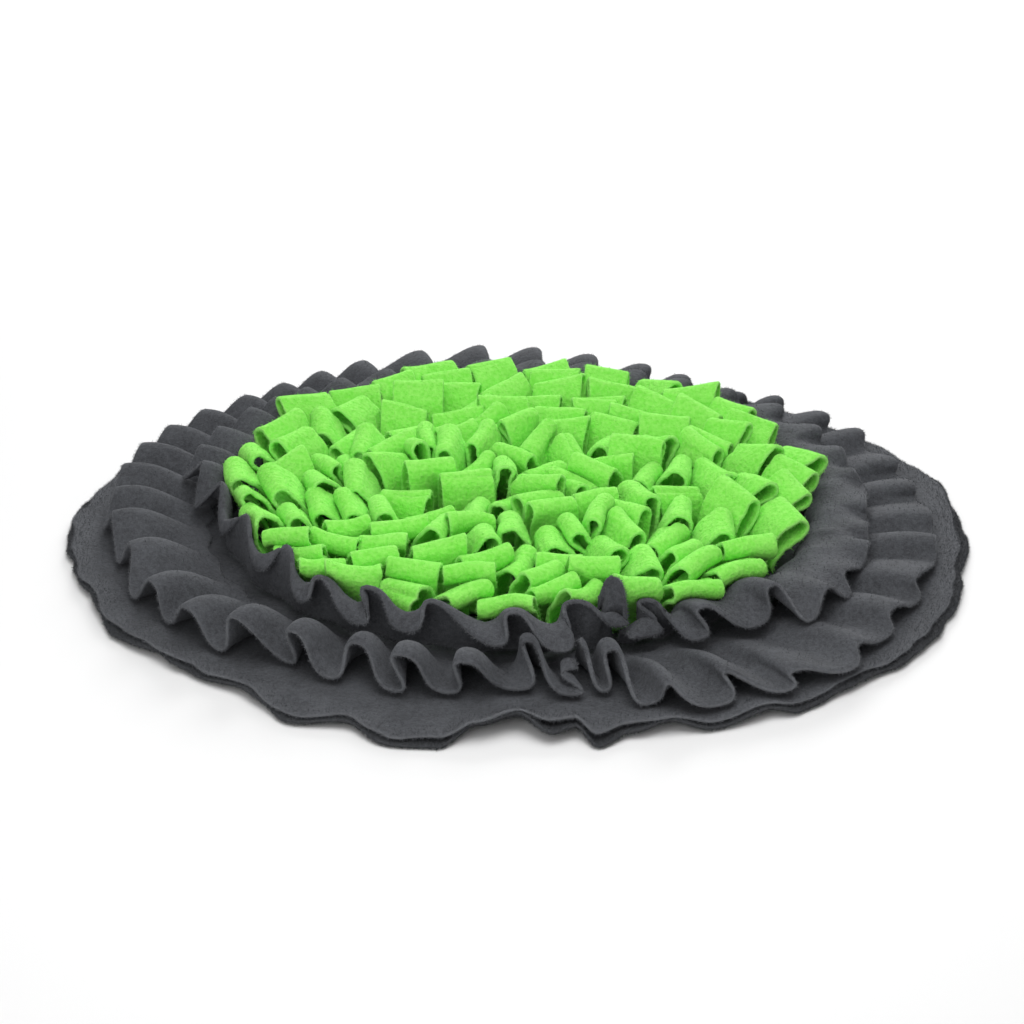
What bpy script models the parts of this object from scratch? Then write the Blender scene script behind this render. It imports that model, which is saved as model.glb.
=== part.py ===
"""Round snuffle mat of anti-pill fleece.

Two base sheets lie on each other. Two gathered strips are sewn round the middle as
ruffles, and the middle holds a dense pile of folded fleece loops.

Frame: origin on the floor under the middle of the mat, +Z up, +X to the right of the
front, +Y away from it. Lengths are millimetres until a mesh is made. Angles are
degrees round the mat from +X towards +Y, so the front is at -90.
"""

import math
import random
from collections import namedtuple

import bmesh
import bpy
from mathutils import Vector
from mathutils.bvhtree import BVHTree

MM = 0.001

# Cloth
CLOTH = 2.2             # thickness of the fleece
LAYER_GAP = 0.5         # between one cloth and the next
FLEECE_ROUGHNESS = 0.95
CHARCOAL = (0.058, 0.060, 0.066)
GREEN = (0.098, 0.600, 0.030)

# Base sheets
BASE_FLAT_R = 186.0     # inside this radius both sheets lie flat
BASE_STEPS = 72
BASE_RINGS = (0.0, 0.35, 0.7)   # rings between the flat middle and the edge

# Ruffles
FOLD_STEPS = 8          # columns of faces in each fold
RUFFLE_ROWS = (0.0, 0.48, 1.0)  # rows of points from the seam to the free edge
ROOT_WAVE = 1.5         # how far the seam itself winds
RIDGE = 0.6             # power that widens a fold's ridge between its seam and its edge

# Loop pile
PILE_SEED = 11
PILE_BACKING_R = 137.0
PILE_BACKING_Z = 5.5
PILE_BACKING_T = 2.6
PILE_BACKING_STEPS = 48
LOOP_ROOT_Z = 7.0       # the two ends of a loop are sewn in at this height
LOOP_WIDTH = (20.5, 26.0)       # least and greatest width of the cut strips
LOOP_FOLD = (4.0, 6.8)  # half of how far a loop opens at its fold
WAIST_UP = 0.45         # where a loop opens halfway, as a share of its height
WAIST_OUT = 0.8         # and how far it opens there, as a share of its fold
FOLD_FLAT = 0.5         # flat part of a fold's top, as a share of its fold
MOUTH_UP = 0.32         # height at which a loop's two sides part
LOOP_CLEARANCE = 0.35   # kept on each side of a loop
LOOP_REACH = 60.0       # loops whose roots are further apart can't touch
LOOP_TRIES = 160        # tries at each place in a ring
PLACE_PLAY = 5.0        # how far a loop may be sewn off its ring
PITCH_PLAY = 0.25       # and how far along it, as a share of the ring's pitch
HEIGHT_PLAY = (-3.0, 2.0)
LEAN_PLAY = (-16.0, 12.0)
FILLER_TRIES = 9000     # tries at a loop in any gap that is left
FILLER_WIDTH = 19.0

# Edge of the base: radius and lift of the lower sheet, and what the upper sheet adds
# to each. The lift is that of the sheet's edge over the floor.
Edge = namedtuple("Edge", "at radius lift more_radius more_lift")
BASE_EDGE = (
    Edge(-180, 224, 1.0, -2, 1.5),
    Edge(-166, 221, 1.5, -2, 1.0),
    Edge(-159, 219, 3.0, -1, 1.0),
    Edge(-150, 223, 1.0, -3, 1.5),
    Edge(-140, 217, 3.0, -1, 1.0),
    Edge(-133, 216, 1.0, -2, 1.5),
    Edge(-126, 214, 3.0, -1, 0.5),
    Edge(-117, 226, 0.5, -2, 1.0),
    Edge(-111, 219, 2.5, -1, 1.0),
    Edge(-104, 230, 0.0, -2, 1.5),
    Edge(-99, 228, 0.0, -4, 2.5),
    Edge(-95, 215, 6.0, 1, 0.5),
    Edge(-90, 209, 9.0, 0, 0.5),
    Edge(-86, 219, 4.0, -6, 4.0),
    Edge(-83, 216, 5.0, -3, 3.0),
    Edge(-81, 227, 0.0, -5, 4.0),
    Edge(-77, 221, 2.0, -3, 2.5),
    Edge(-72, 219, 5.0, 1, 0.5),
    Edge(-67, 227, 0.5, -2, 1.5),
    Edge(-60, 226, 4.0, -1, 1.0),
    Edge(-56, 230, 0.5, -3, 1.5),
    Edge(-47, 227, 2.0, -2, 1.0),
    Edge(-40, 230, 1.0, -3, 1.5),
    Edge(-33, 229, 1.5, -3, 1.5),
    Edge(-24, 227, 1.0, -3, 1.5),
    Edge(-13, 222, 2.0, -3, 1.0),
    Edge(-4, 223, 0.5, -4, 1.5),
    Edge(6, 221, 2.5, -3, 1.0),
    Edge(14, 224, 1.0, -2, 1.0),
    Edge(24, 216, 2.0, -3, 1.0),
    Edge(40, 208, 1.0, -3, 1.5),
    Edge(58, 203, 2.5, -2, 1.0),
    Edge(74, 203, 1.0, -3, 1.5),
    Edge(92, 206, 2.5, -2, 1.0),
    Edge(108, 209, 1.0, -3, 1.5),
    Edge(126, 206, 2.5, -3, 1.0),
    Edge(142, 210, 1.0, -2, 1.5),
    Edge(160, 216, 2.5, -3, 1.0),
)

# Folds of a ruffle in the order that the strip was gathered, from its first cut end to
# its second, both at the front. For its free edge on a crest, and in the trough that
# comes next: angle, radius, height, and how far the strip runs level at that turn. The
# last row has no trough, since the strip ends on its crest.
Fold = namedtuple(
    "Fold",
    "crest_at crest_r crest_z crest_turn trough_at trough_r trough_z trough_turn",
    defaults=(None, None, None, None),
)
LOWER_FOLDS = (
    Fold(-80.4, 172, 23.0, 5, -78.0, 190, 8.5, 8),
    Fold(-76.5, 182, 25.0, 9, -73.8, 207, 8.5, 11),
    Fold(-71.4, 212, 20.0, 4, -65.6, 220, 9.0, 18),
    Fold(-63.2, 208, 18.0, 5, -57.0, 224, 10.0, 13),
    Fold(-54.8, 219, 15.5, 10, -47.6, 226, 10.0, 13),
    Fold(-43.4, 217, 14.5, 7, -37.6, 217, 9.0, 15),
    Fold(-33.0, 210, 15.0, 11, -26.0, 212, 8.5, 12),
    Fold(-22.8, 207, 15.0, 9, -13.2, 209, 8.5, 9),
    Fold(-10.0, 208, 14.5, 8, -4.8, 206, 8.5, 9),
    Fold(-1.5, 206, 14.0, 8, 6.5, 202, 8.5, 8),
    Fold(8.5, 203, 14.0, 8, 15.0, 201, 8.5, 8),
    Fold(17.0, 203, 14.5, 8, 25.0, 200, 8.5, 8),
    Fold(28.2, 204, 15.0, 7, 34.0, 198, 8.5, 7),
    Fold(36.0, 201, 15.5, 8, 43.0, 196, 8.5, 8),
    Fold(44.5, 195, 17.0, 7, 48.8, 190, 9.0, 7),
    Fold(50.0, 185, 17.0, 7, 54.5, 184, 9.0, 7),
    Fold(57.0, 186, 15.5, 5, 60.0, 187, 9.0, 5),
    Fold(61.7, 189, 17.0, 8, 67.5, 192, 9.0, 8),
    Fold(69.0, 192, 18.0, 8, 76.0, 196, 9.0, 9),
    Fold(78.5, 196, 18.5, 8, 85.5, 200, 9.0, 9),
    Fold(87.5, 201, 19.0, 8, 94.5, 204, 9.0, 9),
    Fold(96.0, 205, 19.0, 8, 103.5, 206, 9.0, 9),
    Fold(105.5, 205, 18.5, 8, 113.0, 205, 9.0, 9),
    Fold(115.0, 203, 18.0, 8, 120.5, 204, 9.0, 8),
    Fold(122.5, 200, 18.0, 7, 128.0, 202, 9.0, 8),
    Fold(130.0, 198, 18.0, 7, 136.0, 201, 9.0, 8),
    Fold(137.5, 198, 18.5, 7, 143.5, 202, 9.0, 8),
    Fold(145.5, 202, 18.5, 7, 151.5, 204, 9.0, 8),
    Fold(153.0, 205, 18.5, 7, 159.0, 206, 9.0, 8),
    Fold(160.5, 206, 19.0, 7, 166.5, 207, 9.0, 8),
    Fold(168.5, 205, 19.5, 7, 175.0, 205, 9.0, 8),
    Fold(177.0, 202, 20.0, 7, 182.5, 206, 8.5, 8),
    Fold(186.0, 201, 21.0, 8, 194.0, 201, 8.5, 9),
    Fold(197.0, 196, 21.0, 11, 205.4, 204, 8.5, 10),
    Fold(210.0, 200, 22.0, 11, 214.8, 201, 8.5, 10),
    Fold(220.0, 201, 22.5, 11, 226.0, 200, 8.5, 12),
    Fold(228.5, 197, 26.5, 11, 236.0, 189, 8.5, 12),
    Fold(237.3, 191, 26.0, 11, 243.4, 193, 8.5, 13),
    Fold(246.3, 183, 23.5, 11, 253.3, 194, 8.5, 14),
    Fold(253.8, 190, 25.0, 14, 260.3, 190, 8.5, 15),
    Fold(262.5, 189, 24.0, 12, 270.2, 184, 8.5, 18),
    Fold(271.4, 169, 25.0, 9, 277.5, 191, 8.5, 17),
    Fold(278.7, 180, 16.0, 22),
)
UPPER_FOLDS = (
    Fold(-71.0, 158, 17.0, 4, -65.6, 156, 15.0, 12),
    Fold(-66.2, 145, 28.5, 12, -60.6, 171, 16.0, 15),
    Fold(-58.9, 165, 29.0, 11, -50.2, 175, 16.0, 17),
    Fold(-45.8, 170, 31.0, 10, -43.8, 189, 16.5, 9),
    Fold(-37.8, 184, 25.0, 7, -33.6, 188, 16.5, 7),
    Fold(-29.3, 179, 22.0, 8, -22.8, 180, 16.0, 8),
    Fold(-18.4, 179, 21.5, 6, -15.4, 177, 16.0, 6),
    Fold(-12.0, 175, 21.5, 7, -5.6, 173, 15.5, 8),
    Fold(-2.8, 173, 22.0, 8, 6.2, 176, 15.5, 8),
    Fold(9.7, 173, 22.0, 7, 14.3, 174, 15.5, 7),
    Fold(18.2, 175, 23.0, 7, 25.5, 174, 15.0, 7),
    Fold(28.0, 177, 23.0, 7, 36.0, 172, 16.5, 7),
    Fold(38.5, 176, 24.0, 7, 46.0, 171, 17.5, 7),
    Fold(48.5, 171, 25.0, 7, 55.5, 172, 17.0, 7),
    Fold(58.0, 168, 25.0, 7, 65.0, 172, 17.0, 7),
    Fold(67.5, 168, 25.0, 7, 74.5, 172, 17.0, 7),
    Fold(77.0, 168, 25.5, 7, 84.0, 172, 17.0, 7),
    Fold(86.5, 168, 25.5, 7, 93.5, 172, 17.0, 7),
    Fold(96.0, 168, 26.0, 7, 103.0, 172, 17.0, 7),
    Fold(105.5, 168, 26.0, 7, 112.5, 172, 17.0, 7),
    Fold(115.0, 168, 26.5, 7, 122.0, 172, 17.0, 7),
    Fold(124.5, 168, 27.0, 7, 130.5, 171, 17.0, 7),
    Fold(132.5, 167, 28.0, 6, 138.0, 171, 18.5, 6),
    Fold(140.0, 167, 29.0, 6, 145.0, 171, 18.0, 6),
    Fold(147.0, 167, 30.0, 6, 153.5, 171, 17.5, 6),
    Fold(157.0, 168, 30.0, 6, 163.0, 170, 17.5, 6),
    Fold(165.5, 167, 30.0, 6, 169.7, 172, 17.5, 6),
    Fold(174.0, 159, 32.0, 7, 180.5, 161, 16.0, 7),
    Fold(185.3, 147, 34.0, 8, 195.4, 150, 20.0, 9),
    Fold(201.6, 140, 34.0, 7, 215.9, 152, 23.0, 10),
    Fold(218.8, 139, 34.5, 8, 229.9, 158, 22.0, 10),
    Fold(232.6, 152, 34.0, 9, 242.7, 161, 21.0, 15),
    Fold(242.5, 149, 34.5, 13, 251.1, 160, 21.0, 14),
    Fold(254.8, 151, 34.0, 9, 266.5, 165, 20.5, 12),
    Fold(269.3, 158, 34.5, 10, 276.9, 171, 20.5, 15),
    Fold(279.9, 148, 34.0, 13, 288.0, 153, 21.0, 11),
    Fold(284.8, 142, 43.0, -7),
)

# A ruffle: radius and height of its seam, power of the quarter sine that it climbs by (a
# smaller one climbs sooner), how far a crest puffs up midway as a share of its climb and
# how far a trough does, power by which it reaches out (a larger one stands up before it
# flops), and its folds.
Ruffle = namedtuple("Ruffle", "seam_r seam_z climb puff hump stand folds")
LOWER_RUFFLE = Ruffle(154.0, 6.4, 1.4, 0.22, 0.0, 1.0, LOWER_FOLDS)
UPPER_RUFFLE = Ruffle(144.0, 7.6, 0.6, 0.0, 7.0, 1.7, UPPER_FOLDS)

# Rings of loops from the middle of the pile outwards: radius of the roots, loops in the
# ring, height of a loop, how far its fold leans, and how far from straight out it may be
# turned at the back of the mat and at its front.
Ring = namedtuple("Ring", "radius loops height lean turn_back turn_front")
PILE_RINGS = (
    Ring(13, 4, 28, 14, 180, 180),
    Ring(30, 8, 28, 18, 180, 180),
    Ring(46, 12, 28, 24, 120, 180),
    Ring(62, 15, 28, 30, 70, 150),
    Ring(78, 18, 28, 38, 50, 120),
    Ring(94, 22, 28, 45, 40, 95),
    Ring(110, 26, 29, 51, 35, 80),
    Ring(128, 31, 30, 58, 30, 65),
)


def clear_scene():
    for thing in list(bpy.data.objects):
        bpy.data.objects.remove(thing, do_unlink=True)


def fleece(name, colour):
    material = bpy.data.materials.new(name)
    material.use_nodes = True
    shader = material.node_tree.nodes["Principled BSDF"]
    shader.inputs["Base Color"].default_value = (*colour, 1.0)
    shader.inputs["Roughness"].default_value = FLEECE_ROUGHNESS
    shader.inputs["Metallic"].default_value = 0.0
    return material


def add_object(name, mesh, material):
    thing = bpy.data.objects.new(name, mesh)
    bpy.context.collection.objects.link(thing)
    mesh.materials.append(material)
    mesh.shade_smooth()
    return thing


def polar(radius, deg, z):
    turn = math.radians(deg)
    return Vector((radius * math.cos(turn), radius * math.sin(turn), z))


def mix(low, high, share):
    return low + (high - low) * share


def along(rows, deg):
    """Row of a table at an angle round the mat, eased between the two rows around it."""
    rows = (*rows, rows[0]._replace(at=rows[0].at + 360))
    deg = rows[0].at + (deg - rows[0].at) % 360
    for before, after in zip(rows, rows[1:]):
        if deg <= after.at:
            share = (deg - before.at) / (after.at - before.at)
            share = share * share * (3 - 2 * share)
            return type(before)(*(mix(a, b, share) for a, b in zip(before, after)))
    return rows[-1]


# Base sheets


def edge_curl(radius, edge):
    """How much of the edge's lift a sheet has at a radius: none in the flat middle."""
    share = (radius - BASE_FLAT_R) / (edge.radius - BASE_FLAT_R)
    return max(0.0, share) ** 2


def lower_sheet_z(radius, edge):
    return edge.lift * edge_curl(radius, edge)


def upper_sheet_z(radius, edge):
    lift = (edge.lift + edge.more_lift) * edge_curl(radius, edge)
    return CLOTH + LAYER_GAP + lift


def sheet_mesh(name, height, more_radius):
    """A round sheet: a fan over its flat middle, and rings out to its wavy edge."""
    bm = bmesh.new()
    sides = []
    for raised in (CLOTH, 0.0):
        centre = bm.verts.new(polar(0, 0, height(0, BASE_EDGE[0]) + raised) * MM)
        rings = []
        for share in (*BASE_RINGS, 1.0):
            ring = []
            for step in range(BASE_STEPS):
                deg = 360 * step / BASE_STEPS
                edge = along(BASE_EDGE, deg)
                radius = mix(BASE_FLAT_R, edge.radius, share)
                if share == 1.0:
                    radius += more_radius(edge)
                ring.append(bm.verts.new(polar(radius, deg, height(radius, edge) + raised) * MM))
            rings.append(ring)
        sides.append((centre, rings))
    (top_centre, top), (low_centre, low) = sides
    for k in range(BASE_STEPS):
        n = (k + 1) % BASE_STEPS
        bm.faces.new((top_centre, top[0][k], top[0][n]))
        bm.faces.new((low_centre, low[0][n], low[0][k]))
        for inner, outer in zip(top, top[1:]):
            bm.faces.new((inner[k], outer[k], outer[n]))
            bm.faces.new((inner[k], outer[n], inner[n]))
        for inner, outer in zip(low, low[1:]):
            bm.faces.new((inner[k], outer[n], outer[k]))
            bm.faces.new((inner[k], inner[n], outer[n]))
        bm.faces.new((top[-1][k], low[-1][k], low[-1][n], top[-1][n]))
    mesh = bpy.data.meshes.new(name)
    bm.to_mesh(mesh)
    bm.free()
    return mesh


# Ruffles


def swing(start, end, start_turn, end_turn, share):
    """Angle between two turns of a strip, which runs level for a while at both."""
    rest = 1 - share
    return (
        start * rest**3 + end * share**3
        + 3 * rest * share * (rest * (start + start_turn) + share * (end - end_turn))
    )


def turn_deg(size, radius):
    return math.degrees(size / radius)


def fold_point(ruffle, fold, ahead, phase, row):
    """Point of a ruffle's mid cloth. Phase 0 is a crest, 0.5 its trough; row 0 the seam."""
    share = 2 * phase if phase < 0.5 else 2 * phase - 1
    eased = share * share * (3 - 2 * share)
    in_trough = turn_deg(fold.trough_turn, fold.trough_r)
    if phase < 0.5:
        on_crest = turn_deg(fold.crest_turn, fold.crest_r)
        edge_deg = swing(fold.crest_at, fold.trough_at, on_crest, in_trough, share)
        edge_r = mix(fold.crest_r, fold.trough_r, eased)
        crest, crest_z = 1 - eased, fold.crest_z
    else:
        on_crest = turn_deg(ahead.crest_turn, ahead.crest_r)
        edge_deg = swing(fold.trough_at, ahead.crest_at, in_trough, on_crest, share)
        edge_r = mix(fold.trough_r, ahead.crest_r, eased)
        crest, crest_z = eased, ahead.crest_z
    root_deg = mix(fold.crest_at, ahead.crest_at, phase)
    seam_r = ruffle.seam_r + ROOT_WAVE * (1 - 2 * crest)
    climbed = math.sin(row * math.pi / 2) ** ruffle.climb
    puffed = climbed + ruffle.puff * math.sin(row**1.5 * math.pi)
    crest_line = mix(ruffle.seam_z, crest_z, puffed)
    trough_line = mix(ruffle.seam_z, fold.trough_z, climbed) + ruffle.hump * math.sin(row * math.pi)
    ridge = crest ** mix(1.0, RIDGE, math.sin(row * math.pi))
    return polar(
        mix(seam_r, edge_r, row**ruffle.stand),
        mix(root_deg, edge_deg, row),
        mix(trough_line, crest_line, ridge),
    )


def ruffle_columns(ruffle):
    """Columns of points along the strip, each from the seam out to the free edge."""
    columns = [
        [fold_point(ruffle, fold, ahead, step / FOLD_STEPS, row) for row in RUFFLE_ROWS]
        for fold, ahead in zip(ruffle.folds, ruffle.folds[1:])
        for step in range(FOLD_STEPS)
    ]
    columns.append([fold_point(ruffle, *ruffle.folds[-2:], 1.0, row) for row in RUFFLE_ROWS])
    return columns


def gathered_strip(name, ruffle, material):
    """A gathered strip, as the sheet between its columns made solid."""
    bm = bmesh.new()
    columns = [
        [bm.verts.new(point * MM) for point in column] for column in ruffle_columns(ruffle)
    ]
    for this, after in zip(columns, columns[1:]):
        for k in range(len(RUFFLE_ROWS) - 1):
            bm.faces.new((this[k], this[k + 1], after[k + 1], after[k]))
    mesh = bpy.data.meshes.new(name)
    bm.to_mesh(mesh)
    bm.free()
    strip = add_object(name, mesh, material)
    thicken = strip.modifiers.new("cloth", "SOLIDIFY")
    thicken.thickness = CLOTH * MM
    thicken.offset = 0.0
    thicken.use_quality_normals = True
    return strip


# Loop pile

Loop = namedtuple("Loop", "root facing width height lean fold_left fold_right")


def bend(loop, out, up):
    """Place of a loop's section point once the loop leans: it curves out from its root."""
    angle = math.radians(loop.lean) * up / loop.height
    reach = loop.height / math.radians(loop.lean)
    return (
        reach * (1 - math.cos(angle)) + out * math.cos(angle),
        reach * math.sin(angle) - out * math.sin(angle),
    )


def loop_section(loop, fold):
    """Outer and inner outline of a folded strip seen from its side."""
    top = loop.height
    hole = fold - CLOTH
    outer = (
        (-CLOTH, 0.0),
        (-WAIST_OUT * fold, WAIST_UP * top),
        (-fold, top - fold),
        (-FOLD_FLAT * fold, top),
        (FOLD_FLAT * fold, top),
        (fold, top - fold),
        (CLOTH, 0.0),
    )
    inner = ((0.0, MOUTH_UP * top), (-hole, top - fold), (0.0, top - CLOTH), (hole, top - fold))
    return outer, inner


def loop_solid(loop, spread=0.0):
    """Points and faces of one loop, made wider and thicker by the spread."""
    side = Vector((-math.sin(loop.facing), math.cos(loop.facing), 0.0))
    forward = Vector((math.cos(loop.facing), math.sin(loop.facing), 0.0))
    points = []
    for across, fold in ((-0.5, loop.fold_left), (0.5, loop.fold_right)):
        outer, inner = loop_section(loop, fold + spread)
        for out, up in (*outer, *inner):
            out, up = bend(loop, out, up)
            shift = across * (loop.width + 2 * spread)
            points.append(loop.root + forward * out + side * shift + Vector((0, 0, up)))
    n_outer, n_inner = len(outer), len(inner)
    far = n_outer + n_inner
    faces = []
    for k in range(n_outer):
        n = (k + 1) % n_outer
        faces.append((k, n, far + n, far + k))
    for k in range(n_outer, far):
        n = k + 1 if k + 1 < far else n_outer
        faces.append((n, k, far + k, far + n))
    rim = (
        (0, 7, 8, 1), (1, 8, 2), (2, 8, 9, 3), (3, 9, 4), (4, 9, 10, 5), (5, 10, 7, 6), (6, 7, 0),
    )
    for face in rim:
        faces.append(face)
        faces.append(tuple(far + k for k in reversed(face)))
    return points, faces


def trial_loop(rng, ring, radius, deg):
    """A loop of its ring's size and lean, at a place, with everything a little uneven."""
    frontness = 0.5 - 0.5 * math.sin(math.radians(deg))
    turn = mix(ring.turn_back, ring.turn_front, frontness)
    return Loop(
        root=polar(radius, deg, LOOP_ROOT_Z),
        facing=math.radians(deg + rng.uniform(-turn, turn)),
        width=rng.uniform(*LOOP_WIDTH),
        height=ring.height + rng.uniform(*HEIGHT_PLAY),
        lean=ring.lean + rng.uniform(*LEAN_PLAY),
        fold_left=rng.uniform(*LOOP_FOLD),
        fold_right=rng.uniform(*LOOP_FOLD),
    )


def ring_tries(rng):
    """For each place in the rings, from the outermost in, the tries at a loop there."""
    for number, ring in enumerate(reversed(PILE_RINGS)):
        pitch = 360 / ring.loops
        for place in range(ring.loops):
            yield [
                trial_loop(
                    rng,
                    ring,
                    ring.radius + rng.uniform(-PLACE_PLAY, PLACE_PLAY),
                    pitch * (place + 0.5 * (number % 2) + rng.uniform(-PITCH_PLAY, PITCH_PLAY)),
                )
                for _ in range(LOOP_TRIES)
            ]


def filler_tries(rng):
    """Single tries at a loop anywhere in the pile, for the gaps between the rings."""
    for _ in range(FILLER_TRIES):
        radius = PILE_RINGS[-1].radius * math.sqrt(rng.random())
        ring = min(PILE_RINGS, key=lambda row: abs(row.radius - radius))
        yield [trial_loop(rng, ring, radius, rng.uniform(0, 360))._replace(width=FILLER_WIDTH)]


def place_loops(obstacles):
    """At each place the first try that touches nothing already there."""
    rng = random.Random(PILE_SEED)
    placed = []
    for tries in (*ring_tries(rng), *filler_tries(rng)):
        for loop in tries:
            tree = BVHTree.FromPolygons(*loop_solid(loop, LOOP_CLEARANCE))
            near = [other for root, other in placed if (root - loop.root).length < LOOP_REACH]
            if not any(tree.overlap(other) for other in (*near, *obstacles)):
                placed.append((loop.root, tree))
                yield loop
                break


def loop_pile(material, obstacles):
    """All loops, joined at their roots by the thin ground that they are sewn to."""
    bm = bmesh.new()
    for loop in place_loops(obstacles):
        points, faces = loop_solid(loop)
        verts = [bm.verts.new(point * MM) for point in points]
        for face in faces:
            bm.faces.new([verts[k] for k in face])
    mesh = bpy.data.meshes.new("loops")
    bm.to_mesh(mesh)
    bm.free()
    loops = add_object("loops", mesh, material)
    loops.hide_render = True
    loops.display_type = "WIRE"

    bm = bmesh.new()
    bmesh.ops.create_cone(
        bm,
        cap_ends=True,
        segments=PILE_BACKING_STEPS,
        radius1=PILE_BACKING_R * MM,
        radius2=PILE_BACKING_R * MM,
        depth=PILE_BACKING_T * MM,
    )
    bmesh.ops.translate(bm, verts=bm.verts, vec=(0, 0, (PILE_BACKING_Z + PILE_BACKING_T / 2) * MM))
    mesh = bpy.data.meshes.new("loop_pile")
    bm.to_mesh(mesh)
    bm.free()
    pile = add_object("loop_pile", mesh, material)
    join = pile.modifiers.new("sewn", "BOOLEAN")
    join.operation = "UNION"
    join.solver = "MANIFOLD"
    join.object = loops
    return pile


def tree_in_mm(thing):
    """Search tree of an object's evaluated faces, in millimetres."""
    graph = bpy.context.evaluated_depsgraph_get()
    mesh = thing.evaluated_get(graph).to_mesh()
    points = [vert.co / MM for vert in mesh.vertices]
    faces = [tuple(face.vertices) for face in mesh.polygons]
    return BVHTree.FromPolygons(points, faces)


def build():
    clear_scene()
    lower_sheet = sheet_mesh("base_lower", lower_sheet_z, lambda edge: 0.0)
    add_object("base_lower", lower_sheet, fleece("lower sheet fleece", CHARCOAL))
    upper_sheet = sheet_mesh("base_upper", upper_sheet_z, lambda edge: edge.more_radius)
    add_object("base_upper", upper_sheet, fleece("upper sheet fleece", CHARCOAL))
    gathered_strip("lower_ruffle", LOWER_RUFFLE, fleece("lower ruffle fleece", CHARCOAL))
    upper = gathered_strip("upper_ruffle", UPPER_RUFFLE, fleece("upper ruffle fleece", CHARCOAL))
    loop_pile(fleece("loop fleece", GREEN), [tree_in_mm(upper)])


build()
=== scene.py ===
"""Looks of the round fleece snuffle mat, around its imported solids.

Lengths are millimetres in the mat's own frame until a mesh is made. Angles are degrees
round the mat from +X towards +Y, so its front is at -90.
"""

import math
import random
from collections import namedtuple

import bpy
import numpy as np
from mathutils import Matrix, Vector, noise
from mathutils.bvhtree import BVHTree
from mathutils.kdtree import KDTree


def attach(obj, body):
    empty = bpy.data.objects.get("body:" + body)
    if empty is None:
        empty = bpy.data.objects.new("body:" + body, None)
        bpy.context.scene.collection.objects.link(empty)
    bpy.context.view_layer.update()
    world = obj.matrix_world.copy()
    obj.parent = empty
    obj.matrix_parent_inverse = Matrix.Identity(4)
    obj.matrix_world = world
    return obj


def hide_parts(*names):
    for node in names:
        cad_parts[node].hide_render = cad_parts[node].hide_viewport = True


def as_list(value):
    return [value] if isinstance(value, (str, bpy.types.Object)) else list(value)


MM = 0.001
CUT_EDGE = "cut_edge"   # attribute: 1 where cloth was cut, 0 on its faces

# Cloth
CLOTH = 2.2             # thickness of the fleece
LAYER_GAP = 0.5         # between one cloth and the next
ROUNDING = (0.0, 0.12, 0.45, 1.1)       # how far in from a cut the cloth's edge is shaped
CUT_WANDER = 2.2        # how far the scissors strayed round the base
CUT_PITCH = 13.0
RIM_DROP = 1.6          # how much nearer the two edges lie; they cross a little in front
RIM_THIN = 0.62         # how thin the base's cut edges are, as a share of the fleece
RIM_THIN_FROM = 14.0

# Cut sizes in metres, width and length, before anything was sewn
SHEET_CUT = (0.43, 0.446)
SHEET_AREA = 0.147
LOWER_CUT = (0.048, 1.84)
UPPER_CUT = (0.036, 1.35)       # too short: the free edge that is modelled is 1.57
LOOPS_CUT = (0.025, 10.9)       # all loops' strips end to end

# Base sheets
BASE_FLAT_R = 186.0     # inside this radius both sheets lie flat
BASE_STEPS = 720
BASE_RINGS = (0.0, 30.0, 60.0, 90.0, 120.0, 140.0, 155.0, 168.0, 178.0)
CURL_RINGS = 12         # rings from there to the cut edge
WANDER_SEED = 3.7

# Ruffles
FOLD_COLUMNS = 28       # columns of points in each fold
LOWER_ROWS = 18
UPPER_ROWS = 15
LOWER_DEPTH = 45.0      # about how far each strip reaches from seam to edge
UPPER_DEPTH = 35.0
ROOT_WAVE = 1.5         # how far the seam itself winds
RIDGE = 0.6             # power that widens a fold's ridge between its seam and its edge
TAB_FROM = 0.3          # where the tab at the upper strip's end begins, between two folds
TAB_ROUND = 2.6         # how blunt the tab is
TAB_SEAM_TURN = 4.5     # degrees that the seam goes on past the tab

# Loop pile
PILE_SEED = 11
LOOP_ROOT_Z = 7.0       # the two ends of a loop are sewn in at this height
LOOP_WIDTH = (20.5, 26.0)       # least and greatest width of the cut strips
LOOP_FOLD = (4.0, 6.8)  # half of how far a loop opens at its fold
LOOP_TRIES = 160        # tries at each place in a ring
PLACE_PLAY = 5.0        # how far a loop may be sewn off its ring
PITCH_PLAY = 0.25       # and how far along it, as a share of the ring's pitch
HEIGHT_PLAY = (-3.0, 2.0)
LEAN_PLAY = (-16.0, 12.0)
FILLER_TRIES = 9000     # tries at a loop in any gap that is left
FILLER_WIDTH = 19.0
FOLD_FLAT = 0.5         # where a packed loop's fold has its corners
SIDE_STEPS = 8          # points up each side of a loop
FOLD_STEPS = 8          # points round its fold
LOOP_ROWS = 2 * SIDE_STEPS + FOLD_STEPS + 1
LOOP_COLUMNS = 7        # points across it
LOOP_REACH = 60.0       # loops whose roots are further apart can't touch
LOOP_ROUNDING = (0.0, 0.35, 1.1)
FINE_ROWS = 31          # points along a finished loop
AT_A_CORNER = 0.05      # how near a loop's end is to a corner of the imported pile
EXTRA_SEED = 5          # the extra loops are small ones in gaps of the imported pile
EXTRA_TRIES = 600
EXTRA_REACH = 131.0     # how far from the middle they are sewn
EXTRA_WIDTH = 12.0
EXTRA_FOLD = 2.6

# Nap
NAP_PEBBLE = 2.0        # from one pebble of nap to the next
NAP_FIBRE = 0.7         # from one fibre to the next, drawn coarse enough to show
NAP_CLOUD = 16.0        # from one patch where the nap lies one way to the next
CUT_SHEEN_PAINT = 0.5          # how much painted sheen a cut edge gets: its colour goes toward the sheen tint
FIBRE_LENGTH = 1.5
FIBRE_WIDTH = 0.2
FIBRE_TILT = 0.9        # radians off straight up, at most

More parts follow.
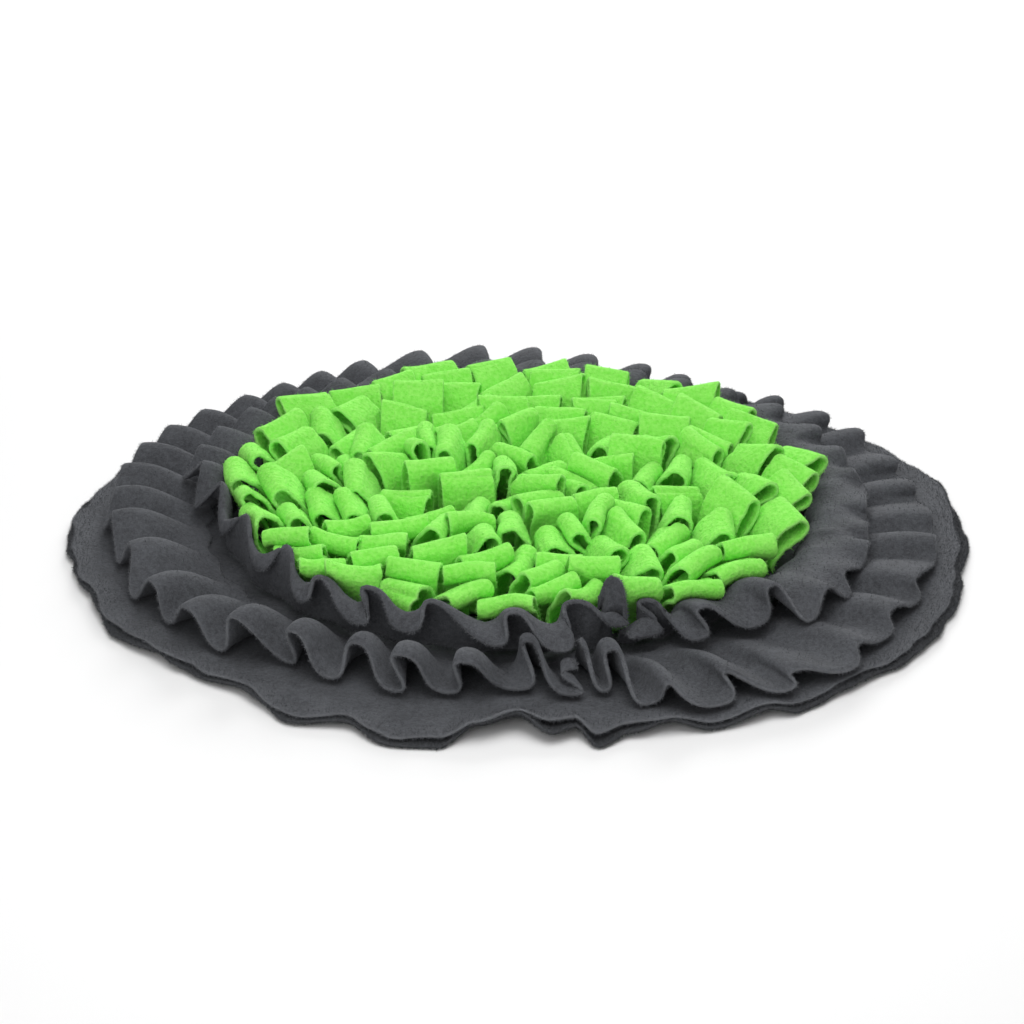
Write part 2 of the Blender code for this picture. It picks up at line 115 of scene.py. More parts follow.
# Settling
SETTLE_TURNS = 150
GROW_TURNS = 60         # turns in which the strips grow to their full size
FULL_WIDTH = (22.0, 28.0)   # what the strips grow to
FULL_FOLD = (4.2, 6.2)
FULL_GROWTH = (2.0, 8.0)    # how much taller they grow
FULL_TILT = 0.24        # how much taller one side of a loop may be, as a share of its height
SINK = 0.05             # how far the pile sinks each turn
CONTACT = 3.4           # how near the points of two cloths come
CONTACT_EASE = 1.3      # share of an overlap that a turn takes away, over 1 for speed
PAIR_MARGIN = 1.2       # how much further apart points are watched than they may come
PAIR_TURNS = 3          # turns between two searches for points that are near
OWN_ROWS = 5            # points of one strip that are this few rows apart don't push
OBSTACLE_ROWS = 10      # the upper ruffle is a grid of points that the pile keeps off
OBSTACLE_STEPS = 14
# Links of a point to the ones that are this far down its strip and across it, with how
# stiff they are: along, across, two askew, and two that keep its bends.
LINKS = (
    (1, 0, 0.8), (0, 1, 0.8), (1, 1, 0.3), (1, -1, 0.3),
    (2, 0, 0.4), (4, 0, 0.3), (6, 0, 0.15), (0, 2, 0.6), (0, 4, 0.4),
)

# Camera: the photograph is 1024 pixels square, and the mat's middle lies in it at CENTRE
CAMERA_DISTANCE = 1800.0
CAMERA_ELEVATION = 25.0
FOCAL_PX = 3600.0
PICTURE_PX = 1024.0
CENTRE_PX = (518.0, 535.0)
SENSOR = 36.0

# Edge of the base: radius and lift of the lower sheet, and what the upper sheet adds
# to each. The lift is that of the sheet's edge over the floor.
Edge = namedtuple("Edge", "at radius lift more_radius more_lift")
BASE_EDGE = (
    Edge(-180, 224, 1.0, -2, 1.5),
    Edge(-166, 221, 1.5, -2, 1.0),
    Edge(-159, 219, 3.0, -1, 1.0),
    Edge(-150, 223, 1.0, -3, 1.5),
    Edge(-140, 217, 3.0, -1, 1.0),
    Edge(-133, 216, 1.0, -2, 1.5),
    Edge(-126, 214, 3.0, -1, 0.5),
    Edge(-117, 226, 0.5, -2, 1.0),
    Edge(-111, 219, 2.5, -1, 1.0),
    Edge(-104, 230, 0.0, -2, 1.5),
    Edge(-99, 228, 0.0, -4, 2.5),
    Edge(-95, 215, 6.0, 1, 0.5),
    Edge(-90, 209, 9.0, 0, 0.5),
    Edge(-86, 219, 4.0, -6, 4.0),
    Edge(-83, 216, 5.0, -3, 3.0),
    Edge(-81, 227, 0.0, -5, 4.0),
    Edge(-77, 221, 2.0, -3, 2.5),
    Edge(-72, 219, 5.0, 1, 0.5),
    Edge(-67, 227, 0.5, -2, 1.5),
    Edge(-60, 226, 4.0, -1, 1.0),
    Edge(-56, 230, 0.5, -3, 1.5),
    Edge(-47, 227, 2.0, -2, 1.0),
    Edge(-40, 230, 1.0, -3, 1.5),
    Edge(-33, 229, 1.5, -3, 1.5),
    Edge(-24, 227, 1.0, -3, 1.5),
    Edge(-13, 222, 2.0, -3, 1.0),
    Edge(-4, 223, 0.5, -4, 1.5),
    Edge(6, 221, 2.5, -3, 1.0),
    Edge(14, 224, 1.0, -2, 1.0),
    Edge(24, 216, 2.0, -3, 1.0),
    Edge(40, 208, 1.0, -3, 1.5),
    Edge(58, 203, 2.5, -2, 1.0),
    Edge(74, 203, 1.0, -3, 1.5),
    Edge(92, 206, 2.5, -2, 1.0),
    Edge(108, 209, 1.0, -3, 1.5),
    Edge(126, 206, 2.5, -3, 1.0),
    Edge(142, 210, 1.0, -2, 1.5),
    Edge(160, 216, 2.5, -3, 1.0),
)

# Folds of a ruffle in the order that the strip was gathered, from its first cut end to
# its second, both at the front. For its free edge on a crest, and in the trough that
# comes next: angle, radius, height, and how far the strip runs level at that turn. The
# last row has no trough, since the strip ends on its crest.
Fold = namedtuple(
    "Fold",
    "crest_at crest_r crest_z crest_turn trough_at trough_r trough_z trough_turn",
    defaults=(None, None, None, None),
)
LOWER_FOLDS = (
    Fold(-80.4, 172, 23.0, 5, -78.0, 190, 8.5, 8),
    Fold(-76.5, 182, 25.0, 9, -73.8, 207, 8.5, 11),
    Fold(-71.4, 212, 20.0, 4, -65.6, 220, 9.0, 18),
    Fold(-63.2, 208, 18.0, 5, -57.0, 224, 10.0, 13),
    Fold(-54.8, 219, 15.5, 10, -47.6, 226, 10.0, 13),
    Fold(-43.4, 217, 14.5, 7, -37.6, 217, 9.0, 15),
    Fold(-33.0, 210, 15.0, 11, -26.0, 212, 8.5, 12),
    Fold(-22.8, 207, 15.0, 9, -13.2, 209, 8.5, 9),
    Fold(-10.0, 208, 14.5, 8, -4.8, 206, 8.5, 9),
    Fold(-1.5, 206, 14.0, 8, 6.5, 202, 8.5, 8),
    Fold(8.5, 203, 14.0, 8, 15.0, 201, 8.5, 8),
    Fold(17.0, 203, 14.5, 8, 25.0, 200, 8.5, 8),
    Fold(28.2, 204, 15.0, 7, 34.0, 198, 8.5, 7),
    Fold(36.0, 201, 15.5, 8, 43.0, 196, 8.5, 8),
    Fold(44.5, 195, 17.0, 7, 48.8, 190, 9.0, 7),
    Fold(50.0, 185, 17.0, 7, 54.5, 184, 9.0, 7),
    Fold(57.0, 186, 15.5, 5, 60.0, 187, 9.0, 5),
    Fold(61.7, 189, 17.0, 8, 67.5, 192, 9.0, 8),
    Fold(69.0, 192, 18.0, 8, 76.0, 196, 9.0, 9),
    Fold(78.5, 196, 18.5, 8, 85.5, 200, 9.0, 9),
    Fold(87.5, 201, 19.0, 8, 94.5, 204, 9.0, 9),
    Fold(96.0, 205, 19.0, 8, 103.5, 206, 9.0, 9),
    Fold(105.5, 205, 18.5, 8, 113.0, 205, 9.0, 9),
    Fold(115.0, 203, 18.0, 8, 120.5, 204, 9.0, 8),
    Fold(122.5, 200, 18.0, 7, 128.0, 202, 9.0, 8),
    Fold(130.0, 198, 18.0, 7, 136.0, 201, 9.0, 8),
    Fold(137.5, 198, 18.5, 7, 143.5, 202, 9.0, 8),
    Fold(145.5, 202, 18.5, 7, 151.5, 204, 9.0, 8),
    Fold(153.0, 205, 18.5, 7, 159.0, 206, 9.0, 8),
    Fold(160.5, 206, 19.0, 7, 166.5, 207, 9.0, 8),
    Fold(168.5, 205, 19.5, 7, 175.0, 205, 9.0, 8),
    Fold(177.0, 202, 20.0, 7, 182.5, 206, 8.5, 8),
    Fold(186.0, 201, 21.0, 8, 194.0, 201, 8.5, 9),
    Fold(197.0, 196, 21.0, 11, 205.4, 204, 8.5, 10),
    Fold(210.0, 200, 22.0, 11, 214.8, 201, 8.5, 10),
    Fold(220.0, 201, 22.5, 11, 226.0, 200, 8.5, 12),
    Fold(228.5, 197, 26.5, 11, 236.0, 189, 8.5, 12),
    Fold(237.3, 191, 26.0, 11, 243.4, 193, 8.5, 13),
    Fold(246.3, 183, 23.5, 11, 253.3, 194, 8.5, 14),
    Fold(253.8, 190, 25.0, 14, 260.3, 190, 8.5, 15),
    Fold(262.5, 189, 24.0, 12, 270.2, 184, 8.5, 18),
    Fold(271.4, 169, 25.0, 9, 277.5, 191, 8.5, 17),
    Fold(278.7, 180, 16.0, 22),
)
UPPER_FOLDS = (
    Fold(-71.0, 158, 17.0, 4, -65.6, 156, 15.0, 12),
    Fold(-66.2, 145, 28.5, 12, -60.6, 171, 16.0, 15),
    Fold(-58.9, 165, 29.0, 11, -50.2, 175, 16.0, 17),
    Fold(-45.8, 170, 31.0, 10, -43.8, 189, 16.5, 9),
    Fold(-37.8, 184, 25.0, 7, -33.6, 188, 16.5, 7),
    Fold(-29.3, 179, 22.0, 8, -22.8, 180, 16.0, 8),
    Fold(-18.4, 179, 21.5, 6, -15.4, 177, 16.0, 6),
    Fold(-12.0, 175, 21.5, 7, -5.6, 173, 15.5, 8),
    Fold(-2.8, 173, 22.0, 8, 6.2, 176, 15.5, 8),
    Fold(9.7, 173, 22.0, 7, 14.3, 174, 15.5, 7),
    Fold(18.2, 175, 23.0, 7, 25.5, 174, 15.0, 7),
    Fold(28.0, 177, 23.0, 7, 36.0, 172, 16.5, 7),
    Fold(38.5, 176, 24.0, 7, 46.0, 171, 17.5, 7),
    Fold(48.5, 171, 25.0, 7, 55.5, 172, 17.0, 7),
    Fold(58.0, 168, 25.0, 7, 65.0, 172, 17.0, 7),
    Fold(67.5, 168, 25.0, 7, 74.5, 172, 17.0, 7),
    Fold(77.0, 168, 25.5, 7, 84.0, 172, 17.0, 7),
    Fold(86.5, 168, 25.5, 7, 93.5, 172, 17.0, 7),
    Fold(96.0, 168, 26.0, 7, 103.0, 172, 17.0, 7),
    Fold(105.5, 168, 26.0, 7, 112.5, 172, 17.0, 7),
    Fold(115.0, 168, 26.5, 7, 122.0, 172, 17.0, 7),
    Fold(124.5, 168, 27.0, 7, 130.5, 171, 17.0, 7),
    Fold(132.5, 167, 28.0, 6, 138.0, 171, 18.5, 6),
    Fold(140.0, 167, 29.0, 6, 145.0, 171, 18.0, 6),
    Fold(147.0, 167, 30.0, 6, 153.5, 171, 17.5, 6),
    Fold(157.0, 168, 30.0, 6, 163.0, 170, 17.5, 6),
    Fold(165.5, 167, 30.0, 6, 169.7, 172, 17.5, 6),
    Fold(174.0, 159, 32.0, 7, 180.5, 161, 16.0, 7),
    Fold(185.3, 147, 34.0, 8, 195.4, 150, 20.0, 9),
    Fold(201.6, 140, 34.0, 7, 215.9, 152, 23.0, 10),
    Fold(218.8, 139, 34.5, 8, 229.9, 158, 22.0, 10),
    Fold(232.6, 152, 34.0, 9, 242.7, 161, 21.0, 15),
    Fold(242.5, 149, 34.5, 13, 251.1, 160, 21.0, 14),
    Fold(254.8, 151, 34.0, 9, 266.5, 165, 20.5, 12),
    Fold(269.3, 158, 34.5, 10, 276.9, 171, 20.5, 15),
    Fold(279.9, 148, 34.0, 13, 288.0, 153, 21.0, 11),
    Fold(284.8, 142, 43.0, -7),
)

# A ruffle: radius and height of its seam, power of the quarter sine that it climbs by (a
# smaller one climbs sooner), how far a crest puffs up midway as a share of its climb and
# how far a trough does, power by which it reaches out (a larger one stands up before it
# flops), and its folds.
Ruffle = namedtuple("Ruffle", "seam_r seam_z climb puff hump stand folds")
LOWER_RUFFLE = Ruffle(154.0, 6.4, 1.4, 0.22, 0.0, 1.0, LOWER_FOLDS)
UPPER_RUFFLE = Ruffle(144.0, 7.6, 0.6, 0.0, 7.0, 1.7, UPPER_FOLDS)

# Rings of loops from the middle of the pile outwards: radius of the roots, loops in the
# ring, height of a loop, how far its fold leans, and how far from straight out it may be
# turned at the back of the mat and at its front.
Ring = namedtuple("Ring", "radius loops height lean turn_back turn_front")
PILE_RINGS = (
    Ring(13, 4, 28, 14, 180, 180),
    Ring(30, 8, 28, 18, 180, 180),
    Ring(46, 12, 28, 24, 120, 180),
    Ring(62, 15, 28, 30, 70, 150),
    Ring(78, 18, 28, 38, 50, 120),
    Ring(94, 22, 28, 45, 40, 95),
    Ring(110, 26, 29, 51, 35, 80),
    Ring(128, 31, 30, 58, 30, 65),
)


# Places and curves, as in the mat's own solids


def mix(low, high, share):
    return low + (high - low) * share


def polar(radius, deg, z):
    turn = math.radians(deg)
    return Vector((radius * math.cos(turn), radius * math.sin(turn), z))


def along(rows, deg):
    """Row of a table at an angle round the mat, eased between the two rows around it."""
    rows = (*rows, rows[0]._replace(at=rows[0].at + 360))
    deg = rows[0].at + (deg - rows[0].at) % 360
    for before, after in zip(rows, rows[1:]):
        if deg <= after.at:
            share = (deg - before.at) / (after.at - before.at)
            share = share * share * (3 - 2 * share)
            return type(before)(*(mix(a, b, share) for a, b in zip(before, after)))
    return rows[-1]


def wander(place, pitch, seed):
    """A soft value from -1 to 1 that changes over about a pitch."""
    x, y, z = (value / pitch for value in place)
    return noise.noise((x + seed, y - seed, z))


# Cloth as a closed solid of real thickness


def surface_normals(points, loops_round):
    """Unit normals of a grid of points, out of the side where columns turn to rows."""
    if loops_round:
        wrapped = np.concatenate([points[-1:], points, points[:1]])
        across = np.gradient(wrapped, axis=0)[1:-1]
    else:
        across = np.gradient(points, axis=0)
    out = np.gradient(points, axis=1)
    normals = np.cross(out, across)
    return normals / np.maximum(np.linalg.norm(normals, axis=2, keepdims=True), 1e-9)


def edge_shape(inset):
    """Share of its full thickness that cloth has this far in from its cut edge."""
    depth = np.clip(np.asarray(inset) / (CLOTH / 2), 0, 1)
    return np.sqrt(1 - (1 - depth) ** 2)


def cloth_grid(points, fullness, loops_round):
    """Points, faces and cut share of cloth: its two sides meet where fullness is nothing."""
    normals = surface_normals(points, loops_round)
    offset = normals * (fullness * CLOTH / 2)[:, :, None]
    columns, rows = points.shape[:2]
    upper = np.arange(columns * rows).reshape(columns, rows)
    lower = upper + columns * rows
    lower = np.where(fullness > 0, lower, upper)
    places = np.concatenate([(points + offset).reshape(-1, 3), (points - offset).reshape(-1, 3)])
    faces = []
    for side, turned in ((upper, False), (lower, True)):
        wrapped = np.concatenate([side, side[:1]]) if loops_round else side
        quads = np.stack(
            [wrapped[:-1, :-1], wrapped[:-1, 1:], wrapped[1:, 1:], wrapped[1:, :-1]], axis=-1
        ).reshape(-1, 4)
        faces.append(quads[:, ::-1] if turned else quads)
    cut = np.clip(1.5 * (1 - fullness), 0, 1).ravel()
    return places, np.concatenate(faces), np.concatenate([cut, cut])


def cloth_piece(name, parts, material):
    """One object from the points and faces of one or more cloths."""
    places, faces, cuts, start = [], [], [], 0
    for points, quads, cut in parts:
        places.append(points)
        faces.append(quads + start)
        cuts.append(cut)
        start += len(points)
    places, faces = np.concatenate(places) * MM, np.concatenate(faces)
    used = np.unique(faces)
    renumber = np.zeros(len(places), int)
    renumber[used] = np.arange(len(used))
    mesh = bpy.data.meshes.new(name)
    mesh.from_pydata(places[used].tolist(), [], renumber[faces].tolist())
    mesh.materials.append(material)
    mesh.shade_smooth()
    shares = mesh.attributes.new(CUT_EDGE, "FLOAT", "POINT")
    shares.data.foreach_set("value", np.concatenate(cuts)[used])
    piece = bpy.data.objects.new(name, mesh)
    bpy.context.collection.objects.link(piece)
    return piece


# Base sheets


def edge_curl(radius, edge):
    """How much of the edge's lift a sheet has at a radius: none in the flat middle."""
    share = (radius - BASE_FLAT_R) / (edge.radius - BASE_FLAT_R)
    return max(0.0, share) ** 2


def sheet_points(floor_gap, more):
    """Mid cloth of a round sheet. It takes this share of what the upper sheet adds."""
    columns = []
    for step in range(BASE_STEPS):
        deg = 360 * step / BASE_STEPS
        edge = along(BASE_EDGE, deg)
        reach = edge.radius + more * edge.more_radius
        reach += CUT_WANDER * wander(polar(reach, deg, 20 * more), CUT_PITCH, WANDER_SEED)
        curled = [mix(BASE_FLAT_R, reach, k / CURL_RINGS) for k in range(CURL_RINGS)]
        cut = [reach - inset for inset in reversed(ROUNDING)]
        column = []
        for radius in (*BASE_RINGS, *curled, *cut):
            radius = max(radius, 1e-3)
            lift = (edge.lift + more * (edge.more_lift - RIM_DROP)) * edge_curl(radius, edge)
            column.append(polar(radius, deg, floor_gap + CLOTH / 2 + lift))
        columns.append(column)
    return np.array(columns)


def base_sheet(name, floor_gap, more, material):
    points = sheet_points(floor_gap, more)
    fullness = np.ones(points.shape[:2])
    fullness[:, -len(ROUNDING):] = edge_shape(ROUNDING[::-1])
    fullness[:, 0] = 1
    reach = np.linalg.norm(points[:, :, :2], axis=2)
    worn = np.clip((reach - reach[:, -1:] + RIM_THIN_FROM) / RIM_THIN_FROM, 0, 1)
    fullness *= mix(1, RIM_THIN, worn**2)
    return cloth_piece(name, [cloth_grid(points, fullness, True)], material)


# Ruffles


def swing(start, end, start_turn, end_turn, share):
    """Angle between two turns of a strip, which runs level for a while at both."""
    rest = 1 - share
    return (
        start * rest**3 + end * share**3
        + 3 * rest * share * (rest * (start + start_turn) + share * (end - end_turn))
    )


def turn_deg(size, radius):
    """Angle that a length along a circle takes up."""
    return math.degrees(size / radius)


def fold_point(ruffle, fold, ahead, phase, row):
    """Point of a ruffle's mid cloth. Phase 0 is a crest, 0.5 its trough; row 0 the seam."""
    share = 2 * phase if phase < 0.5 else 2 * phase - 1
    eased = share * share * (3 - 2 * share)
    in_trough = turn_deg(fold.trough_turn, fold.trough_r)
    if phase < 0.5:
        on_crest = turn_deg(fold.crest_turn, fold.crest_r)
        edge_deg = swing(fold.crest_at, fold.trough_at, on_crest, in_trough, share)
        edge_r = mix(fold.crest_r, fold.trough_r, eased)
        crest, crest_z = 1 - eased, fold.crest_z
    else:
        on_crest = turn_deg(ahead.crest_turn, ahead.crest_r)
        edge_deg = swing(fold.trough_at, ahead.crest_at, in_trough, on_crest, share)
        edge_r = mix(fold.trough_r, ahead.crest_r, eased)
        crest, crest_z = eased, ahead.crest_z
    root_deg = mix(fold.crest_at, ahead.crest_at, phase)
    seam_r = ruffle.seam_r + ROOT_WAVE * (1 - 2 * crest)
    climbed = math.sin(row * math.pi / 2) ** ruffle.climb
    puffed = climbed + ruffle.puff * math.sin(row**1.5 * math.pi)
    crest_line = mix(ruffle.seam_z, crest_z, puffed)
    trough_line = mix(ruffle.seam_z, fold.trough_z, climbed) + ruffle.hump * math.sin(row * math.pi)
    ridge = crest ** mix(1.0, RIDGE, math.sin(row * math.pi))
    return polar(
        mix(seam_r, edge_r, row**ruffle.stand),
        mix(root_deg, edge_deg, row),
        mix(trough_line, crest_line, ridge),
    )


def ruffle_points(ruffle, steps, rows):
    """Mid cloth of a gathered strip: columns of points from the seam out to its edge."""
    columns = [
        [fold_point(ruffle, fold, ahead, step / steps, row) for row in rows]
        for fold, ahead in zip(ruffle.folds, ruffle.folds[1:])
        for step in range(steps)
    ]
    columns.append([fold_point(ruffle, *ruffle.folds[-2:], 1.0, row) for row in rows])
    return np.array(columns)


def narrowed_end(points):
    """The ruffle whose last crest is a slim blunt tab that stands up, over a longer seam."""
    last = FOLD_COLUMNS // 2
    share = (np.arange(last + 1) / last)[:, None]
    trough_z = points[-last - 1, :, 2]
    across_tab = np.clip((share - TAB_FROM) / (1 - TAB_FROM), 0, 1)
    tab = 1 - abs(2 * across_tab - 1) ** TAB_ROUND
    points[-last - 1:, :, 2] = mix(trough_z, points[-1, :, 2], tab)
    low = (1 - np.linspace(0, 1, points.shape[1]))[None, :]
    turn = np.radians(TAB_SEAM_TURN) * share * low**2
    x, y = points[-last - 1:, :, 0], points[-last - 1:, :, 1]
    points[-last - 1:, :, :2] = np.stack(
        [x * np.cos(turn) - y * np.sin(turn), x * np.sin(turn) + y * np.cos(turn)], axis=-1
    )
    return points


def frill(name, ruffle, row_count, depth, material):
    """A gathered strip of cloth. Its depth is how far it reaches from seam to edge."""
    shaped = [inset / depth for inset in ROUNDING]
    middle = np.linspace(shaped[-1], 1 - shaped[-1], row_count)[1:-1]
    rows = [*shaped, *middle, *(1 - share for share in reversed(shaped))]
    points = ruffle_points(ruffle, FOLD_COLUMNS, rows)
    if ruffle is UPPER_RUFFLE:
        points = narrowed_end(points)
    fullness = np.ones(points.shape[:2])
    fullness[:, :len(ROUNDING)] = edge_shape(ROUNDING)
    fullness[:, -len(ROUNDING):] = edge_shape(ROUNDING[::-1])
    fullness[0] = fullness[-1] = 0
    return cloth_piece(name, [cloth_grid(points, fullness, False)], material)


# Loop pile

Loop = namedtuple("Loop", "root facing width height lean fold_left fold_right")


def bend(loop, out, up):
    """Place of a loop's section point once the loop leans: it curves out from its root."""
    angle = math.radians(loop.lean) * up / loop.height
    reach = loop.height / math.radians(loop.lean)
    return (
        reach * (1 - math.cos(angle)) + out * math.cos(angle),
        reach * math.sin(angle) - out * math.sin(angle),
    )


def loop_place(loop, across, out, up):
    """Point of a loop: across its strip, out of its root and up, in the mat's frame."""
    out, up = bend(loop, out, up)
    side = Vector((-math.sin(loop.facing), math.cos(loop.facing), 0.0))
    forward = Vector((math.cos(loop.facing), math.sin(loop.facing), 0.0))
    return loop.root + forward * out + side * across * loop.width + Vector((0, 0, up))


def trial_loop(rng, ring, radius, deg):
    """A loop of its ring's size and lean, at a place, with everything a little uneven."""
    frontness = 0.5 - 0.5 * math.sin(math.radians(deg))
    turn = mix(ring.turn_back, ring.turn_front, frontness)
    return Loop(
        root=polar(radius, deg, LOOP_ROOT_Z),
        facing=math.radians(deg + rng.uniform(-turn, turn)),
        width=rng.uniform(*LOOP_WIDTH),
        height=ring.height + rng.uniform(*HEIGHT_PLAY),
        lean=ring.lean + rng.uniform(*LEAN_PLAY),
        fold_left=rng.uniform(*LOOP_FOLD),
        fold_right=rng.uniform(*LOOP_FOLD),
    )


def ring_tries(rng):
    """For each place in the rings, from the outermost in, the tries at a loop there."""
    for number, ring in enumerate(reversed(PILE_RINGS)):
        pitch = 360 / ring.loops
        for place in range(ring.loops):
            yield [
                trial_loop(
                    rng,
                    ring,
                    ring.radius + rng.uniform(-PLACE_PLAY, PLACE_PLAY),
                    pitch * (place + 0.5 * (number % 2) + rng.uniform(-PITCH_PLAY, PITCH_PLAY)),
                )
                for _ in range(LOOP_TRIES)
            ]


def filler_tries(rng):
    """Single tries at a loop anywhere in the pile, for the gaps between the rings."""
    for _ in range(FILLER_TRIES):
        radius = PILE_RINGS[-1].radius * math.sqrt(rng.random())
        ring = min(PILE_RINGS, key=lambda row: abs(row.radius - radius))
        yield [trial_loop(rng, ring, radius, rng.uniform(0, 360))._replace(width=FILLER_WIDTH)]


def packed_loops(packed_pile):
    """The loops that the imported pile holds: those with a corner of it at their folds."""
    corners = KDTree(len(packed_pile.data.vertices))
    for number, vert in enumerate(packed_pile.data.vertices):
        corners.insert(vert.co / MM, number)
    corners.balance()
    rng = random.Random(PILE_SEED)
    for tries in (*ring_tries(rng), *filler_tries(rng)):
        for loop in tries:
            ends = (
                loop_place(loop, -0.5, FOLD_FLAT * loop.fold_left, loop.height),
                loop_place(loop, 0.5, FOLD_FLAT * loop.fold_right, loop.height),
            )
            if all(corners.find(end)[2] < AT_A_CORNER for end in ends):
                yield loop
                break


def loop_profile(fold, height):
    """Mid cloth of a folded strip seen from its side, up one side, over and down."""
    open_by = fold - CLOTH
    side = []
    for step in range(SIDE_STEPS):
        share = step / SIDE_STEPS
        out = CLOTH / 2 + open_by * math.sin(share * math.pi / 2) ** 0.8
        side.append((out, share * (height - fold)))
    cap = []
    for step in range(FOLD_STEPS + 1):
        turn = math.pi * step / FOLD_STEPS
        cap.append((
            -(fold - CLOTH / 2) * math.cos(turn),
            height - fold + (fold - CLOTH / 2) * math.sin(turn),
        ))
    return [*((-out, up) for out, up in side), *cap, *reversed(side)]


def loop_points(loop, tilt=0.0):
    """Mid cloth of a folded strip: rows of points along it, a column for each across.

    A tilted one is sewn askew, so that it is taller at one side.
    """
    shares = np.linspace(0, 1, LOOP_COLUMNS)
    profiles = [
        loop_profile(mix(loop.fold_left, loop.fold_right, k), loop.height * (1 + tilt * (k - 0.5)))
        for k in shares
    ]
    return np.array([
        [loop_place(loop, share - 0.5, *profile[row]) for share, profile in zip(shares, profiles)]
        for row in range(LOOP_ROWS)
    ])


def extra_loops(placed):
    """Small loops in the gaps of the pile that cross no other. They grow as it settles."""
    rng = random.Random(EXTRA_SEED)
    quads = [
        (row * LOOP_COLUMNS + k, row * LOOP_COLUMNS + k + 1,
         (row + 1) * LOOP_COLUMNS + k + 1, (row + 1) * LOOP_COLUMNS + k)
        for row in range(LOOP_ROWS - 1) for k in range(LOOP_COLUMNS - 1)
    ]
    trees = [
        (loop, BVHTree.FromPolygons(loop_points(loop).reshape(-1, 3).tolist(), quads))
        for loop in placed
    ]
    extra = []
    for _ in range(EXTRA_TRIES):
        radius = EXTRA_REACH * math.sqrt(rng.random())
        ring = min(PILE_RINGS, key=lambda row: abs(row.radius - radius))
        loop = trial_loop(rng, ring, radius, rng.uniform(0, 360))._replace(
            width=EXTRA_WIDTH, fold_left=EXTRA_FOLD, fold_right=EXTRA_FOLD
        )
        tree = BVHTree.FromPolygons(loop_points(loop).reshape(-1, 3).tolist(), quads)
        near = (other for there, other in trees if (there.root - loop.root).length < LOOP_REACH)
        if not any(tree.overlap(other) for other in near):
            trees.append((loop, tree))
            extra.append(loop)
    return extra


# Settling of the pile: every strip grows to its full size, and keeps its lengths, while
# it is pushed off whatever it touches and sinks a little.


def close_pairs(places, reach):
    """Pairs of points closer than about this reach, found cell by cell."""
    cells = np.floor(places / reach).astype(np.int64) + 512
    keys = (cells[:, 0] << 20) + (cells[:, 1] << 10) + cells[:, 2]
    order = np.argsort(keys, kind="stable")
    ranked = keys[order]
    steps = [(x << 20) + (y << 10) + z for x in (0, 1) for y in (-1, 0, 1) for z in (-1, 0, 1)]
    firsts, seconds = [], []
    for step in steps:
        if step < 0:
            continue
        start = np.searchsorted(ranked, keys + step, "left")
        count = np.searchsorted(ranked, keys + step, "right") - start
        first = np.repeat(np.arange(len(keys)), count)
        within = np.arange(len(first)) - np.repeat(np.cumsum(count) - count, count)
        second = order[np.repeat(start, count) + within]
        kept = first < second if step == 0 else slice(None)
        firsts.append(first[kept])
        seconds.append(second[kept])
    first, second = np.concatenate(firsts), np.concatenate(seconds)
    kept = np.linalg.norm(places[first] - places[second], axis=1) < reach
    return first[kept], second[kept]


def pull(cloths, share_free, down, across, rest, stiffness):
    """Moves points that are neighbours in their cloth towards their rest distance."""
    rows, columns = cloths.shape[1:3]
    here = np.s_[:, : rows - down, max(0, -across): columns - max(0, across)]
    there = np.s_[:, down:, max(0, across): columns - max(0, -across)]
    gap = cloths[there] - cloths[here]
    size = np.maximum(np.linalg.norm(gap, axis=3), 1e-6)
    free = share_free[here] + share_free[there]
    move = (stiffness * (1 - rest / size) / np.maximum(free, 1))[..., None] * gap
    cloths[here] += move * share_free[here][..., None]
    cloths[there] -= move * share_free[there][..., None]


def spans(cloths, down, across):
    """Distances between the points that a link joins."""
    rows, columns = cloths.shape[1:3]
    here = cloths[:, : rows - down, max(0, -across): columns - max(0, across)]
    there = cloths[:, down:, max(0, across): columns - max(0, -across)]
    return np.linalg.norm(there - here, axis=3)


def push_apart(places, movable, loop_of, pairs):
    """Moves points of different cloths, or far apart along one, out of each other."""
    first, second = pairs
    gap = places[second] - places[first]
    size = np.maximum(np.linalg.norm(gap, axis=1), 1e-6)
    least = np.where(loop_of[first] == loop_of[second], CLOTH, CONTACT)
    meeting = size < least
    first, second, gap = first[meeting], second[meeting], gap[meeting]
    need = (least[meeting] - size[meeting]) / size[meeting]
    free = np.maximum(movable[first] + movable[second], 1)
    step = gap * (need / free)[:, None]
    count = np.bincount(first, minlength=len(places)) + np.bincount(second, minlength=len(places))
    ease = CONTACT_EASE / np.maximum(count, 1)
    for axis in range(3):
        total = np.bincount(second, step[:, axis], len(places))
        total -= np.bincount(first, step[:, axis], len(places))
        places[:, axis] += total * ease * movable


